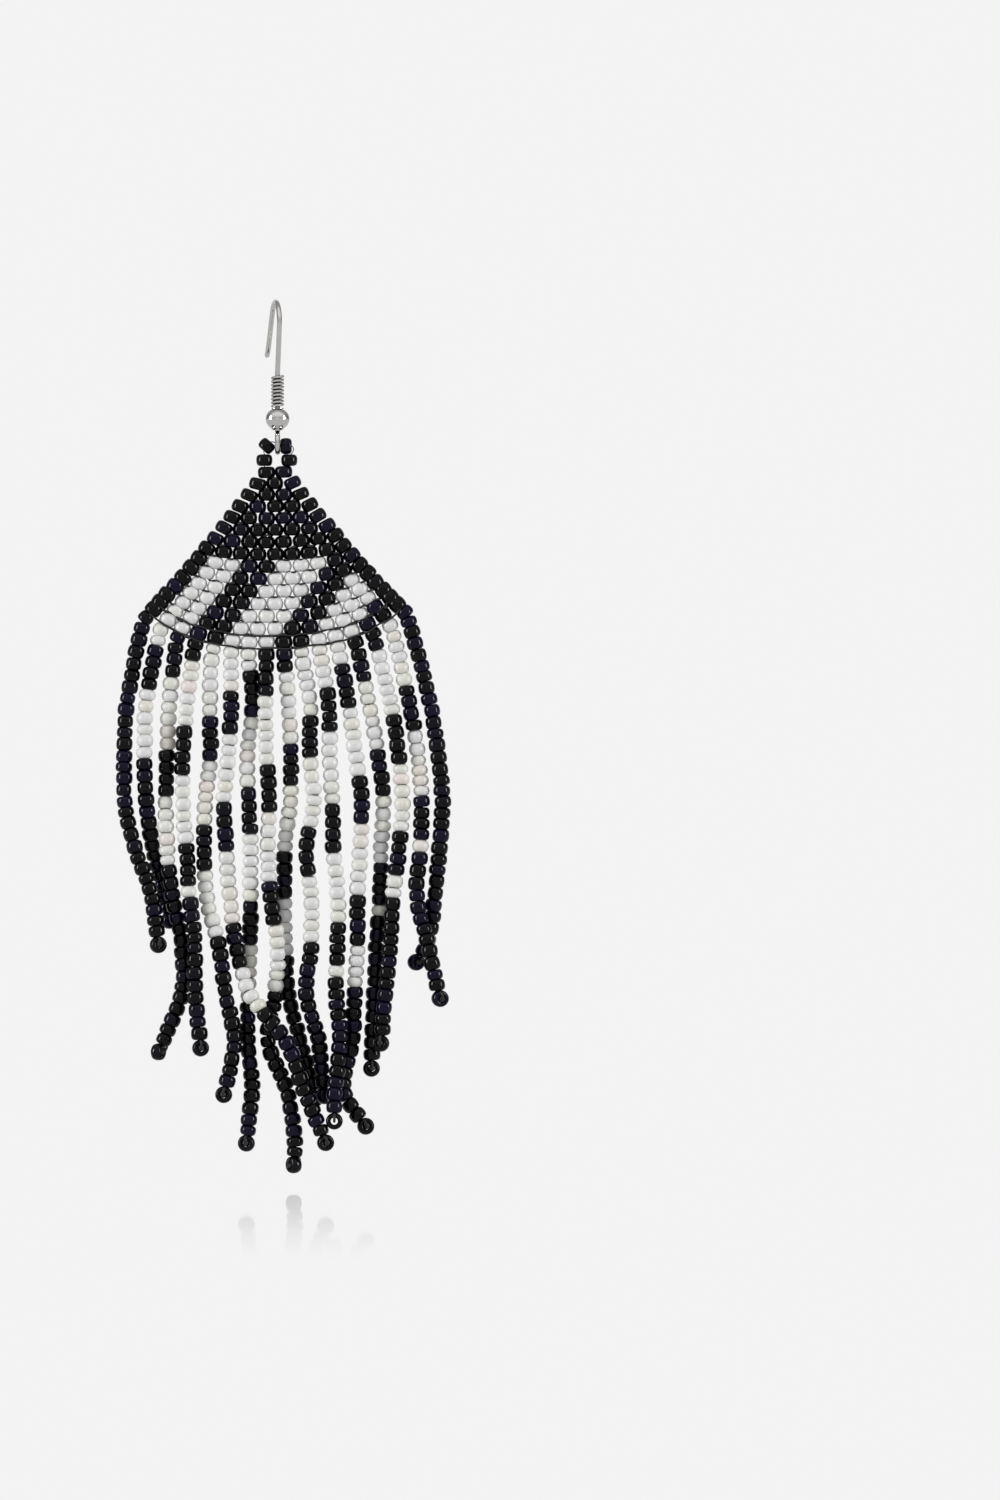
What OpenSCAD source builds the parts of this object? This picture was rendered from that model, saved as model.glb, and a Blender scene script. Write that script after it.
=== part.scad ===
// Beaded dangle earring: a bent ear wire with a coil and a hollow ball, and below it a drop
// woven of seed beads. A bowed triangle of bead rows hangs from the wire's ring by a thread,
// and one strand of beads hangs from each bead of its lowest row.
// +X is to the right as worn seen from the front, +Y is away from the viewer, +Z is up.
// The origin is the inside of the hook's top, where it rests in the ear.

/* [Ear wire] */
// Thickness of the ear wire
wire_d = 0.64; // [0.5:0.02:0.8]
// Radius of the hook's top, on the wire's middle line
hook_r = 2.6; // [2.6:0.1:3.2]
// How far the hook's plane is turned about the vertical
hook_turn = 11.5; // [0:0.5:20]
// How far the drop's axis lies before the hook's highest point, in the hook's plane
axis_before = 1.3; // [1:0.1:1.6]
// How far the front leg leans back from the vertical
front_lean = 12.3; // [12:0.1:14]
// Radius of the bend from the front leg into the stem
bend_r = 3.0; // [1:0.5:4]
// How steeply the rear leg falls
rear_fall = 57; // [50:1:70]
// Length of the rear leg's straight stretch
rear_leg = 5.1; // [3:0.1:7]
// Radius of the rear leg's flared tip
tip_r = 4.0; // [3:0.5:6]
// How far the tip flares
tip_flare = 20; // [10:1:30]
// Outer width of the ring at the foot of the wire
ring_d = 3.0; // [2.8:0.1:3.4]

/* [Coil and ball] */
// Thickness of the wire that is wound round the stem
coil_wire_d = 0.32; // [0.3:0.02:0.38]
// Outer width of the coil
coil_d = 1.68; // [1.52:0.02:1.8]
// Number of turns in the coil
coil_turns = 8.5; // [7:0.1:8.5]
// Height of one turn
coil_pitch = 0.44; // [0.385:0.005:0.44]
// Width of the hollow ball
ball_d = 3.0; // [2.8:0.1:3.2]
// Height of the ball for its width, before the hole is cut
ball_squash = 0.92; // [0.85:0.01:0.95]
// Width of the hole through the ball
ball_hole_d = 1.3; // [1.25:0.05:1.4]
// How far the loose ball tips its lower hole to the front
ball_tip = 12; // [0:1:12]

/* [Top beads] */
// Width of one of the four beads that hang from the ring
top_bead_d = 2.0; // [1.8:0.05:2.05]
// Length of such a bead along its hole
top_bead_l = 1.4; // [1.2:0.05:1.4]
// Radius of its rounded rims
top_bead_rim = 0.45; // [0.3:0.05:0.5]
// Width of its hole
bead_hole_d = 0.8; // [0.7:0.05:0.9]
// Thickness of the doubled hanging thread
thread_d = 0.22; // [0.18:0.02:0.22]

/* [Bead panel] */
// Distance between the beads of a row
bead_pitch = 2.15; // [2.1:0.01:2.2]
// Width of a panel bead
panel_bead_d = 2.1; // [1.9:0.05:2.1]
// Length of a panel bead along its hole
panel_bead_l = 1.4; // [1.3:0.05:1.4]
// Distance between the two uppermost rows
row_pitch_top = 1.42; // [1.4:0.01:1.5]
// Distance between the two lowest rows
row_pitch_base = 1.61; // [1.5:0.01:1.7]
// How strongly the rows bow up towards their ends
row_bow = 0.0284; // [0.02:0.001:0.03]
// How far the rows rise to the right, for each millimetre
row_rise = 0.02; // [0:0.005:0.03]
// Thickness of the woven beads
panel_t = 1.9; // [1.6:0.1:2.1]

/* [Strands] */
// Width of a strand of beads
strand_d = 2.0; // [1.7:0.05:2]
// Gap between a strand's first bead and the panel
strand_gap = 0.05; // [0.03:0.01:0.1]

/* [Hidden] */
// Beads in the panel's lowest row, one for each strand
base_beads = 16;
strand_name = function (k) str("strand_", k < 10 ? "0" : "", k);

// Curves are fine enough to pass for round
$fn = 96;

function polar(r, a) = [r * cos(a), r * sin(a)];

// The hook in its own plane: x runs back from the seat and y runs up
wire_r = wire_d / 2;
top_c = [0, wire_r - hook_r];
rear_from = top_c + polar(hook_r, 90 - rear_fall);
rear_to = rear_from + polar(rear_leg, -rear_fall);
tip_c = rear_to + polar(tip_r, 90 - rear_fall);
front_from = top_c + polar(hook_r, 180 + front_lean);
front_run = -axis_before - front_from.x - bend_r * (1 - cos(front_lean));
front_leg = front_run / sin(front_lean);
front_to = front_from + polar(front_leg, 270 + front_lean);
bend_c = [-axis_before - bend_r, front_to.y - bend_r * sin(front_lean)];
stem_top = bend_c.y;
// Length between two rings of points on the wire's bends, and the sides of the wire
arc_step = 0.55;
wire_sides = 12;
// How far the wire runs round its ring before its end meets the stem
ring_turn = 335;
// Rings that taper the wire's tip to a blunt point, for a wire 1 wide: how far along, and how wide
TIP_TAPER = [[-0.55, 0.2], [-0.2, 0.56], [0.15, 0.88]];

// Heights along the stem, measured from the seat
coil_top = stem_top;
ball_z = -14.32;
ring_z = -17.34;
ring_r = (ring_d - wire_d) / 2;

// The drop hangs on the ring's inside, and this axis is where it swings
axis_x = axis_before * sin(hook_turn);
axis_y = -axis_before * cos(hook_turn);
thread_play = 0.03;
pivot_z = ring_z - ring_r + wire_r + thread_d / 2 + thread_play;

// Middle and lean of each top bead in the drop's frame: x, z, degrees to the right
TOP_BEADS = [
    [-1.65, -19.48, 0],
    [-1.25, -17.74, 42],
    [1.05, -17.72, 90],
    [1.45, -19.48, 0]
];

// The hanging thread in the drop's frame: x, z, up through the left beads, over the ring and down
THREAD_ROUTE = [
    [-1.65, -20.1], [-1.65, -18.8], [-1.7, -18.3], [-0.8, -17.2], [-0.15, -17.45], [0.05, pivot_z],
    [0.35, -17.72], [1.75, -17.72], [2.0, -18.1], [1.82, -18.57], [1.68, -18.74], [1.5, -20.1]
];

// Bead rows of the panel: u counts beads from the middle of a row, n is the number of beads in it
first_row = 2;
first_row_z = -20.99;
panel_x = -0.3;
bow_power = 2.5;
row_steps = base_beads - first_row;
bow_step = bow_power * row_bow;
shorten = pow(bow_step / bead_pitch, 2) / 8;

// Depth below the seat of the heights at which the strands' places are given, and their step
level_top = -50;
level_step = -6;

// Places of the strands in the drop's frame, one row for each strand from the left.
// across and back: X and Y at each level from the top one down; end: middle of the last bead
STRANDS = [
    // across, back, end
    [[-18.8, -19.1, -19.1, -17.8, -15.7],
     [0.2, 0.3, 0.1, 0, -0.2], [-14.9, -0.3, -80]],
    [[-16.4, -16.6, -16.4, -15.6, -14.2],
     [0, -0.3, 0, 1.5, 2.6], [-13.6, 2.7, -77]],
    [[-13.5, -13.8, -14, -13.8, -13.1, -12, -12],
     [0.3, 0.6, 0.3, 0, 0.3, 0.9, 1.1], [-14.9, 0.8, -93.4]],
    [[-11.3, -11.8, -11.8, -11.4, -11, -10.3, -10.3],
     [-0.3, -0.6, -0.3, 0, -0.4, -0.8, -0.8], [-9.6, -0.6, -92.9]],
    [[-8.5, -8.4, -9, -9.2, -8.9, -7.4, -6.5, -5.4],
     [0.2, 0.4, 0.2, 0.1, 0.7, -0.5, -0.6, -0.7], [-6.7, -0.9, -98.7]],
    [[-5.8, -6.1, -6.7, -6.4, -6, -5.2, -3.5, 1, 3.3],
     [0, -0.2, -0.1, 0.2, 0.4, 0.3, -0.9, -1.6, -1], [6, -0.8, -104.7]],
    [[-3.1, -3.8, -3.6, -3.4, -3.4, -3.5, -3.7, -3.7, -3.2],
     [0.8, 0.4, 0, -0.2, 0.4, 2.1, 2.2, 1.3, 0.4], [-3.9, 0.3, -104.8]],
    [[-1.5, -1.4, -1, -1.2, -0.9, 0, -0.3, -1.2, 1.1, 2.1],
     [-0.8, -0.4, 0.1, -0.2, -0.3, -0.1, 1.1, 1.2, 0.8, 0.3], [2, 0.2, -107.5]],
    [[1.4, 1.6, 1.6, 0.9, 0.8, 0.9, 1.3, 2.8],
     [0, 0.3, 0.4, 1.3, 1.8, 2.2, 2.3, 2.4], [4.6, 3, -99.3]],
    [[4.1, 4, 4.5, 3.6, 4.2, 4.2, 3.6, 5.1],
     [0.2, 0, -0.3, -0.2, 0.1, 0, 0, 0.5], [5.8, 1.2, -98.9]],
    [[6.4, 6.5, 6.8, 7, 7.5, 7.5, 7.3, 7.8, 7.2],
     [-0.2, 0, 0.2, 0, -0.2, 0, -0.2, -0.5, -0.9], [7.1, -1.1, -102]],
    [[8.9, 9.7, 10.5, 10.3, 10, 10, 9.6, 9.3, 8.2],
     [0, -0.2, -0.2, 0, 0, 0.2, 0.7, 1.4, 1.6], [11, 0.9, -102.7]],
    [[11.4, 12.5, 13.2, 12.9, 12.8, 12.3, 12.1, 11.8],
     [0.2, 0.3, 0.4, 1, 1.8, 1.8, 2, 2.1], [11.7, 2, -95.5]],
    [[14.1, 15.1, 15.6, 15.2, 14.4, 14.1, 13.5],
     [-0.2, -0.3, -0.2, -0.2, -0.3, -0.3, -0.4], [12.9, -0.3, -92.3]],
    [[16.5, 17.5, 18, 17.8, 17.4, 18.8],
     [0, 0.2, 0, -0.2, -0.4, -0.9], [20.3, -0.8, -86.7]],
    [[19.1, 20, 20.6, 20.2, 19.6, 18.7],
     [0.2, 0, -0.2, 0.1, 0.7, 1.6], [17.3, 1.4, -82.2]]
];
// The outermost strands are black from top to bottom; the others are black and white
all_black = function (k) k == 1 || k == base_beads;
// Length of each strand's first stretch, straight down from its bead of the lowest row
neck_l = 1.2;

unit = function (v) v / norm(v);

// Direction of a path at its point i
function heading(path, i) =
    unit(path[min(i + 1, len(path) - 1)] - path[max(i - 1, 0)]);

// Points round the path's point i, with flat sides of the tube square to `athwart`
function ring_points(path, i, d, sides, athwart) =
    let (
        ahead = heading(path, i),
        side = unit(cross(athwart, ahead)),
        rear = cross(ahead, side)
    )
    [for (j = [0:sides - 1])
        let (a = (j + 0.5) * 360 / sides)
        path[i] + d / 2 * (cos(a) * side + sin(a) * rear)];

// Triangles that join rings of points in turn, and close both ends
function ring_faces(rings, sides) = concat(
    [for (i = [0:rings - 2], j = [0:sides - 1])
        [i * sides + j, i * sides + (j + 1) % sides, (i + 1) * sides + j]],
    [for (i = [0:rings - 2], j = [0:sides - 1])
        [i * sides + (j + 1) % sides, (i + 1) * sides + (j + 1) % sides, (i + 1) * sides + j]],
    [[for (j = [sides - 1:-1:0]) j]],
    [[for (j = [0:sides - 1]) (rings - 1) * sides + j]]
);

// A tube with flat sides, as wide at each point as `widths` says, on a path never along `athwart`
module tube(path, widths, sides, athwart = [0, 1, 0]) {
    polyhedron(
        points = [for (i = [0:len(path) - 1]) each ring_points(path, i, widths[i], sides, athwart)],
        faces = ring_faces(len(path), sides)
    );
}

function alike(path, width) = [for (p = path) width];

// Points on an arc in a plane, from angle a to angle b
function arc_points(centre, r, a, b) =
    let (steps = ceil(abs(b - a) * PI / 180 * r / arc_step))
    [for (i = [0:steps]) centre + polar(r, a + (b - a) * i / steps)];

// A point of the hook's plane in the whole frame
function from_hook_plane(p) = [-p.x * sin(hook_turn), p.x * cos(hook_turn), p.y];

// The wire's middle line after its tapered tip: up the rear leg, over and down to the stem
WIRE_BENDS = concat(
    arc_points(tip_c, tip_r, 270 - rear_fall + tip_flare, 270 - rear_fall),
    arc_points(top_c, hook_r, 90 - rear_fall, 180 + front_lean),
    arc_points(bend_c, bend_r, front_lean, 0)
);

// The ring under the stem, round in the drop's middle plane
WIRE_RING = [
    for (p = arc_points([0, ring_z], ring_r, 90, 90 + ring_turn)) [axis_x, axis_y + p.x, p.y]
];

// Height of row n at its middle: the rows move apart a little towards the base
function row_z(n) =
    let (m = n - first_row)
    first_row_z - m * row_pitch_top
        - (row_pitch_base - row_pitch_top) * m * (m - 1) / (2 * (row_steps - 1));

// Distance from the row's middle to its bead u, and how that bead leans
function bead_run(u) = bead_pitch * u * (1 - shorten * pow(abs(u), 3));
function bead_lean(u) =
    atan2(sign(u) * bow_step * pow(abs(u), bow_power - 1),
          bead_pitch * (1 - 4 * shorten * pow(abs(u), 3))) + atan(row_rise);

// A point of the panel beside bead u of row n: a along the row, b up along the bead
function beside(n, u, a, b) =
    let (lean = bead_lean(u), run = bead_run(u))
    [panel_x + run + a * cos(lean) - b * sin(lean),
     row_z(n) + row_bow * pow(abs(u), bow_power) + row_rise * run + a * sin(lean) + b * cos(lean)];

row_end = function (n) (n - 1) / 2;
half_w = panel_bead_d / 2;
half_l = panel_bead_l / 2;

// The stepped outline: down the left ends of the rows, along the base, up the right ends
PANEL_OUTLINE = concat(
    [for (n = [first_row:base_beads], b = [half_l, -half_l]) beside(n, -row_end(n), -half_w, b)],
    [for (u = [1 - row_end(base_beads):row_end(base_beads) - 1]) beside(base_beads, u, 0, -half_l)],
    [for (n = [base_beads:-1:first_row], b = [-half_l, half_l]) beside(n, row_end(n), half_w, b)]
);

// Middle line of strand k, from its bead of the lowest row to below its last bead
function strand_path(k) =
    let (
        row = STRANDS[k - 1],
        across = row[0],
        back = row[1],
        end = row[2],
        u = k - 1 - row_end(base_beads),
        head = beside(base_beads, u, 0, -half_l - strand_gap),
        neck = beside(base_beads, u, 0, -half_l - strand_gap - neck_l)
    )
    concat(
        [[head.x, 0, head.y], [neck.x, 0, neck.y]],
        [for (i = [0:len(across) - 1]) [across[i], back[i], level_top + i * level_step]],
        [end - [0, 0, strand_d / 2]]
    );

module in_drop() {
    translate([axis_x, axis_y, 0])
        children();
}

// The bent wire, its stem through the coil and the ball, and the ring that its end closes
module ear_hook() {
    bends = [for (p = WIRE_BENDS) from_hook_plane(p)];
    tip_way = unit(bends[1] - bends[0]);
    tip = [for (t = TIP_TAPER) bends[0] + (t[0] - 0.5) * wire_d * tip_way];
    body = concat(bends, WIRE_RING);
    widths = concat([for (t = TIP_TAPER) t[1] * wire_d], alike(body, wire_d));
    color("silver")
        tube(concat(tip, body), widths, wire_sides, [cos(hook_turn), sin(hook_turn), 0]);
}

// The thinner wire that is wound round the stem, as one swept helix that starts on the left
module hook_coil() {
    steps_per_turn = 14;
    sides = 6;
    steps = round(coil_turns * steps_per_turn);
    r = (coil_d - coil_wire_d) / 2;
    low = coil_top - coil_turns * coil_pitch - coil_wire_d / 2;
    color("silver")
        in_drop()
            translate([0, 0, low])
                polyhedron(
                    points = [
                        for (i = [0:steps], j = [0:sides - 1])
                            let (
                                a = 180 + i * 360 / steps_per_turn,
                                out = r + coil_wire_d / 2 * cos(j * 360 / sides),
                                up = coil_wire_d / 2 * sin(j * 360 / sides)
                            )
                            [out * cos(a), out * sin(a), up + coil_pitch * i / steps_per_turn]
                    ],
                    faces = ring_faces(steps + 1, sides)
                );
}

// The polished ball below the coil, open along the stem
module hook_ball() {
    color("silver")
        in_drop()
            translate([0, 0, ball_z])
                rotate([-ball_tip, 0, 0])
                    difference() {
                        scale([1, 1, ball_squash])
                            sphere(d = ball_d);
                        cylinder(d = ball_hole_d, h = 2 * ball_d, center = true);
                    }
}

module hang_thread() {
    color("black")
        in_drop()
            tube([for (p = THREAD_ROUTE) [p.x, 0, p.y]], alike(THREAD_ROUTE, thread_d), 6);
}

// A seed bead with rounded rims and an open hole along Z
module seed_bead() {
    rim_x = top_bead_d / 2 - top_bead_rim;
    rim_z = top_bead_l / 2 - top_bead_rim;
    difference() {
        rotate_extrude() {
            translate([0, -top_bead_l / 2])
                square([rim_x, top_bead_l]);
            translate([0, -rim_z])
                square([top_bead_d / 2, 2 * rim_z]);
            for (z = [-rim_z, rim_z])
                translate([rim_x, z])
                    circle(r = top_bead_rim);
        }
        cylinder(d = bead_hole_d, h = 2 * top_bead_l, center = true);
    }
}

// One of the beads beside and below the ring, from the lower left one round to the lower right
module loop_bead(i) {
    bead = TOP_BEADS[i - 1];
    color("black")
        in_drop()
            translate([bead.x, 0, bead.y])
                rotate([0, bead.z, 0])
                    seed_bead();
}

// The woven rows as one solid with a stepped, bowed outline
module bead_panel() {
    color("black")
        in_drop()
            rotate([90, 0, 0])
                linear_extrude(height = panel_t, center = true)
                    polygon(PANEL_OUTLINE);
}

module strand(k) {
    path = strand_path(k);
    color(all_black(k) ? "black" : "whitesmoke")
        in_drop()
            tube(path, alike(path, strand_d), 8);
}

ear_hook();
hook_coil();
hook_ball();
hang_thread();
for (i = [1:4])
    loop_bead(i);
bead_panel();
for (k = [1:base_beads])
    strand(k);
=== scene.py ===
"""The looks of a beaded dangle earring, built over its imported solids.

Lengths are in millimetres in the solids' own frame, and MM turns them into metres as a mesh is
finished: +X to the right seen from the front, +Y away from the viewer, +Z up. The origin is the
inside of the hook's top. The drop hangs from the wire's ring, and its own x and z are measured
in the plane of its bead rows.
"""

import logging
import math
import random
from dataclasses import dataclass, field
from enum import Enum
from typing import Callable, Iterable, Optional, Sequence, Union

import bmesh
import bpy
from mathutils import Matrix, Vector

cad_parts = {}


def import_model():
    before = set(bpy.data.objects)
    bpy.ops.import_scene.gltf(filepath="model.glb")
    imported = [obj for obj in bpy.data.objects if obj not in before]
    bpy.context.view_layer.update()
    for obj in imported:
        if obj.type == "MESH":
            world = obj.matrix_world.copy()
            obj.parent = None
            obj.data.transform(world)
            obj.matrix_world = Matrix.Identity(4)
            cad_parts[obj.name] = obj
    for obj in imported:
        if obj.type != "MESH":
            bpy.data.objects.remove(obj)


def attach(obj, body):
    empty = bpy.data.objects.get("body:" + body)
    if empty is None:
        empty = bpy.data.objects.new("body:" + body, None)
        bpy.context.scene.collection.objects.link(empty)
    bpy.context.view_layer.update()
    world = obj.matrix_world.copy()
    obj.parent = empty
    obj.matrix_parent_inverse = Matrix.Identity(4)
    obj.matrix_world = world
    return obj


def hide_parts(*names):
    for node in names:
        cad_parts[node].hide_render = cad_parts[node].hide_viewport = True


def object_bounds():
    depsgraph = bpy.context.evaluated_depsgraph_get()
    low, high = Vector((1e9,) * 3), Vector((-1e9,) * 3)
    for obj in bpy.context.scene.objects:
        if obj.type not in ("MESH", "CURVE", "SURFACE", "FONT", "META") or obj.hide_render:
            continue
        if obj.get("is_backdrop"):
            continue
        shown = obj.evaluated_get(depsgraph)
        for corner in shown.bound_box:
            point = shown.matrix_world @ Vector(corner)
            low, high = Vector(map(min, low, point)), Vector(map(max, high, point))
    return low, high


Colour = tuple[float, float, float, float]
Number = Union[float, "Socket"]
MM = 0.001
# Vertices that lie closer together than this, in millimetres, are one.
JOIN = 1e-4
# The vertex attribute that holds a bead's tint, or on steel how much painted shade it has.
TINT_AND_PAINTED_SHADE = "tint"
# How far on each ring that closes a wire lies, and how wide it is, for a wire of radius 1.
DOME = ((0.35, 0.93), (0.35, 0.68), (0.2, 0.3))
POINT = ((0.35, 0.86), (0.6, 0.55), (0.5, 0.2))
# How many radians a diagonal wave texture of scale 1 runs through in each unit of x + y + z.
WAVE_DIAGONAL = 10.0
log = logging.getLogger("earring")


class Body(Enum):
    """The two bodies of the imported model."""

    EAR_WIRE = "ear_wire"
    DROP = "drop"


class Slot(Enum):
    """The record's material slots."""

    STEEL = "polished_steel"
    BLACK = "black_glass"
    WHITE = "white_glass"
    THREAD = "thread"


class Tone(Enum):
    """Which glass a bead is made of."""

    BLACK = "black"
    WHITE = "white"


class Mixed(Enum):
    """What a Mix node mixes: its data type, and the numbers of its two inputs and its output."""

    NUMBERS = ("FLOAT", 2, 3, 0)
    COLOURS = ("RGBA", 6, 7, 2)


# Shading


class Socket:
    """A node's output that Python's operators turn into Math nodes."""

    def __init__(self, tree: "ShaderTree", output: bpy.types.NodeSocket) -> None:
        """Wraps `output`, which belongs to `tree`."""
        self.tree = tree
        self.output = output

    def _maths(self, operation: str, first: Number, second: Number) -> "Socket":
        """Returns the result of one Math node on two values."""
        return self.tree.node("ShaderNodeMath", {"operation": operation}, {0: first, 1: second})

    def __add__(self, other: Number) -> "Socket":
        """Returns self + other."""
        return self._maths("ADD", self, other)

    def __radd__(self, other: Number) -> "Socket":
        """Returns other + self."""
        return self._maths("ADD", other, self)

    def __sub__(self, other: Number) -> "Socket":
        """Returns self - other."""
        return self._maths("SUBTRACT", self, other)

    def __rsub__(self, other: Number) -> "Socket":
        """Returns other - self."""
        return self._maths("SUBTRACT", other, self)

    def __mul__(self, other: Number) -> "Socket":
        """Returns self * other."""
        return self._maths("MULTIPLY", self, other)

    def __rmul__(self, other: Number) -> "Socket":
        """Returns other * self."""
        return self._maths("MULTIPLY", other, self)

    def __pow__(self, other: Number) -> "Socket":
        """Returns self to the power of other."""
        return self._maths("POWER", self, other)

    def __abs__(self) -> "Socket":
        """Returns self without its sign."""
        return self.tree.node("ShaderNodeMath", {"operation": "ABSOLUTE"}, {0: self})

    def at_least(self, other: Number) -> "Socket":
        """Returns self, or other where that is more."""
        return self._maths("MAXIMUM", self, other)


@dataclass(frozen=True)
class Fade:
    """A smooth run between two levels, with the values at which it starts and ends."""

    start: float
    end: float
    first: float
    last: float


class ShaderTree:
    """The nodes of one material or of the world."""

    def __init__(self, owner: Union[bpy.types.Material, bpy.types.World]) -> None:
        """Clears the nodes, ready for new ones.

        Args:
            owner: the material or the world that the nodes belong to.
        """
        owner.use_nodes = True
        self.nodes = owner.node_tree.nodes
        self.links = owner.node_tree.links
        self.nodes.clear()

    def node(self, kind: str, settings: dict, inputs: dict, output: Union[int, str] = 0) -> Socket:
        """Adds one node.

        Args:
            kind: the node's type.
            settings: its properties; `stops` holds the places and colours of a ramp.
            inputs: a value or a Socket for each input's name or number.
            output: the output that is wanted.

        Returns:
            That output.
        """
        made = self.nodes.new(kind)
        for name, value in settings.items():
            if name == "stops":
                self._set_stops(made.color_ramp, value)
            else:
                setattr(made, name, value)
        for name, value in inputs.items():
            if isinstance(value, Socket):
                self.links.new(value.output, made.inputs[name])
            else:
                made.inputs[name].default_value = value
        return Socket(self, made.outputs[output])

    @staticmethod
    def _set_stops(ramp: bpy.types.ColorRamp, stops: Sequence[tuple[float, Colour]]) -> None:
        """Gives a colour ramp its stops.

        Args:
            ramp: the ramp.
            stops: the place and the colour of each stop.
        """
        while len(ramp.elements) < len(stops):
            ramp.elements.new(0.5)
        for element, (place, colour) in zip(ramp.elements, stops):
            element.position = place
            element.color = colour

    def noise(self, scale: float, detail: float) -> Socket:
        """Adds noise on the piece's Object coordinates.

        Args:
            scale: how many waves it has to the millimetre.
            detail: how many finer layers it has.

        Returns:
            The noise, 0.5 on average.
        """
        place = self.node("ShaderNodeTexCoord", {}, {}, "Object")
        inputs = {"Vector": place, "Scale": scale / MM, "Detail": detail}
        return self.node("ShaderNodeTexNoise", {}, inputs, "Fac")

    def fade(self, value: Socket, run: Fade) -> Socket:
        """Returns a fade's level at each value."""
        inputs = {0: value, 1: run.start, 2: run.end, 3: run.first, 4: run.last}
        return self.node("ShaderNodeMapRange", {"interpolation_type": "SMOOTHSTEP"}, inputs)

    def mix(
        self,
        kind: Mixed,
        factor: Number,
        first: Union[Number, Colour],
        second: Union[Number, Colour],
        blend: str = "MIX",
    ) -> Socket:
        """Mixes two numbers or two colours.

        Args:
            kind: which of the two they are.
            factor: the share of the second one.
            first: the first one.
            second: the second one.
            blend: how they are mixed.

        Returns:
            The mixed number or colour.
        """
        data_type, one, other, result = kind.value
        settings = {"data_type": data_type, "blend_type": blend}
        return self.node("ShaderNodeMix", settings, {0: factor, one: first, other: second}, result)

    def dim(self, colour: Union[Socket, Colour], shade: Number, darkest: float) -> Socket:
        """Returns a colour with its brightness times `darkest` where `shade` is 1."""
        return self.mix(Mixed.COLOURS, shade, colour, (darkest, darkest, darkest, 1.0), "MULTIPLY")

    def bump(self, height: Socket, depth: float, strength: float) -> Socket:
        """Returns a normal bent by `height`, of which 1 stands for `depth` millimetres."""
        inputs = {"Height": height, "Distance": depth * MM, "Strength": strength}
        return self.node("ShaderNodeBump", {}, inputs, "Normal")

    def surface(self, inputs: dict) -> None:
        """Ends the material in one Principled shader with these inputs."""
        shader = self.node("ShaderNodeBsdfPrincipled", {}, inputs)
        self.node_end("ShaderNodeOutputMaterial", shader)

    def node_end(self, kind: str, shader: Socket) -> None:
        """Adds the output node `kind` and links `shader` to it."""
        self.links.new(shader.output, self.nodes.new(kind).inputs["Surface"])


@dataclass(frozen=True)
class BeadGlass:
    """Opaque pressed glass, a little different from bead to bead."""

    name: str
    slot: Slot
    tints: tuple[tuple[float, Colour], ...]
    roughness: float
    bending: float
    inside: float
    inside_reach: float = 0.4
    cloud_waves: float = 0.9
    cloud_shade: float = 0.5
    cloud_dark: float = 0.7
    pit_waves: float = 4.5
    pit_roughness: float = 0.06
    pit_height: float = 0.35
    relief_depth: float = 0.05
    relief_strength: float = 0.16

    def material(self) -> bpy.types.Material:
        """Makes the glass, which reads each bead's tint.

        Returns:
            The material.
        """
        material = bpy.data.materials.new(self.name)
        tree = ShaderTree(material)
        tint = tree.node("ShaderNodeAttribute", {"attribute_name": TINT_AND_PAINTED_SHADE}, {}, "Fac")
        colour = tree.node("ShaderNodeValToRGB", {"stops": self.tints}, {0: tint}, "Color")
        cloud = tree.noise(self.cloud_waves, 3.0)
        pits = tree.noise(self.pit_waves, 2.0)
        relief = cloud + self.pit_height * pits
        tree.surface(
            {
                "Base Color": tree.dim(colour, cloud * self.cloud_shade, self.cloud_dark),
                "Roughness": self.roughness + self.pit_roughness * (pits - 0.5),
                "Subsurface Weight": self.inside,
                "Subsurface Radius": (0.3, 0.3, 0.3),
                "Subsurface Scale": self.inside_reach * MM,
                "IOR": self.bending,
                "Normal": tree.bump(relief, self.relief_depth, self.relief_strength),
            }
        )
        return material


@dataclass(frozen=True)
class PolishedSteel:
    """Drawn steel wire, polished, with fine draw marks."""

    name: str
    slot: Slot
    colour: Colour
    roughness: float
    haze_waves: float = 0.6
    haze_shade: float = 0.5
    haze_dark: float = 0.8
    haze_roughness: float = 0.06
    # How dark the painted shade makes the steel where a vertex is marked as fully shaded.
    painted_shade_dark: float = 0.06
    mark_waves: float = 7.0
    mark_depth: float = 0.01
    mark_strength: float = 0.08

    def material(self) -> bpy.types.Material:
        """Makes the steel, with painted shade where the piece's vertices mark it as shaded.

        Returns:
            The material.
        """
        material = bpy.data.materials.new(self.name)
        tree = ShaderTree(material)
        marks = tree.noise(self.mark_waves, 4.0)
        haze = tree.noise(self.haze_waves, 2.0)
        # Painted shade: the vertex attribute darkens the steel in the coil's gaps, on the stem inside the
        # coil and inside the hollow ball.
        painted_shade = tree.node("ShaderNodeAttribute", {"attribute_name": TINT_AND_PAINTED_SHADE}, {}, "Fac")
        hazy = tree.dim(self.colour, haze * self.haze_shade, self.haze_dark)
        tree.surface(
            {
                "Base Color": tree.dim(hazy, painted_shade, self.painted_shade_dark),
                "Metallic": 1.0,
                "Roughness": self.roughness + self.haze_roughness * haze,
                "Normal": tree.bump(marks, self.mark_depth, self.mark_strength),
            }
        )
        return material


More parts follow.
